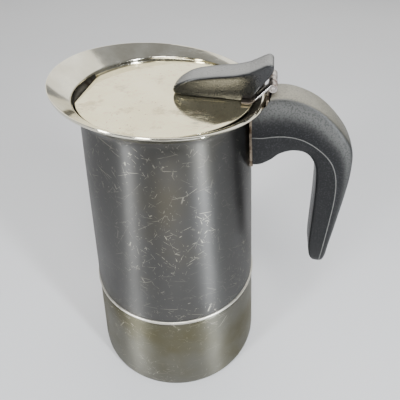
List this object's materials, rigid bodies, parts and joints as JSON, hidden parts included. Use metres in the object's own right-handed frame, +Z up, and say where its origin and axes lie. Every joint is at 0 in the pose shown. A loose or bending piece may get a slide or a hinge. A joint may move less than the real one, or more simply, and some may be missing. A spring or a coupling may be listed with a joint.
{
  "type": "moka pot",
  "caption": "Stovetop steel coffee maker: tapered boiler and collector, flared lip, hinged lid with black thumb tab and curved black handle.",
  "frame": {"origin": "centre of the underside, on the pot's own axis, at the height it stands on", "axes": "+Z up along the pot's axis, +X towards the handle and the lid's hinge, -X towards the pouring lip"},
  "size_m": [0.135, 0.109, 0.1826],
  "materials": {
    "polished_steel": "polished, finely scratched",
    "boiler_steel": "polished, browned by heat",
    "inner_steel": "satin",
    "hinge_steel": "satin",
    "spring_steel": "drawn wire",
    "valve_brass": "turned",
    "seal_rubber": "matt",
    "handle_plastic": "fine grained",
    "knob_plastic": "satin"
  },
  "bodies": {
    "boiler": {"boiler_shell": "boiler_steel", "boiler_base_disc": "boiler_steel", "valve_body": "valve_brass", "valve_nut": "valve_brass", "valve_washer": "seal_rubber", "valve_spring": "spring_steel"},
    "valve": {"valve_plunger": "valve_brass"},
    "funnel": {"funnel_basket": "inner_steel", "funnel_stem": "inner_steel", "funnel_strainer": "inner_steel"},
    "seal_pack": {"gasket_ring": "seal_rubber", "filter_plate": "inner_steel"},
    "collector": {"collector_body": "polished_steel", "seam_ring": "polished_steel", "threaded_collar": "inner_steel", "collector_floor": "inner_steel", "coffee_column": "inner_steel", "column_cap": "inner_steel", "handle_bracket": "hinge_steel", "hinge_bracket": "hinge_steel", "hinge_pin": "hinge_steel", "handle": "handle_plastic", "handle_stud_1": "hinge_steel", "handle_stud_2": "hinge_steel"},
    "lid": {"lid_disc": "polished_steel", "lid_hinge_leaf": "hinge_steel", "lid_knob": "knob_plastic", "knob_rivet_1": "hinge_steel", "knob_rivet_2": "hinge_steel"}
  },
  "joints": [
    {"name": "lid_hinge", "type": "hinge", "parent": "collector", "child": "lid", "pos_m": [0.046, 0, 0.1732], "axis": [0, 1, 0], "range_deg": [0, 100]},
    {"name": "valve_lift", "type": "slide", "parent": "boiler", "child": "valve", "axis": [0, 1, 0], "range_m": [0, 0.0015], "stiffness_N_per_m": 400, "springref_m": -0.004, "deforming": ["valve_spring"]},
    {"name": "collector_lift", "type": "slide", "parent": "boiler", "child": "seal_pack", "axis": [0, 0, 1], "range_m": [0, 0.09]},
    {"name": "collector_turn", "type": "hinge", "parent": "seal_pack", "child": "collector", "pos_m": [0, 0, 0.0574], "axis": [0, 0, 1], "range_deg": [0, 360]},
    {"name": "funnel_lift", "type": "slide", "parent": "boiler", "child": "funnel", "axis": [0, 0, 1], "range_m": [0, 0.045]}
  ],
  "couplings": [
    {"joint": "collector_turn", "follows": "collector_lift", "rad_per_m": 69.8},
    {"joint": "funnel_lift", "follows": "collector_lift", "ratio": 0.5}
  ]
}
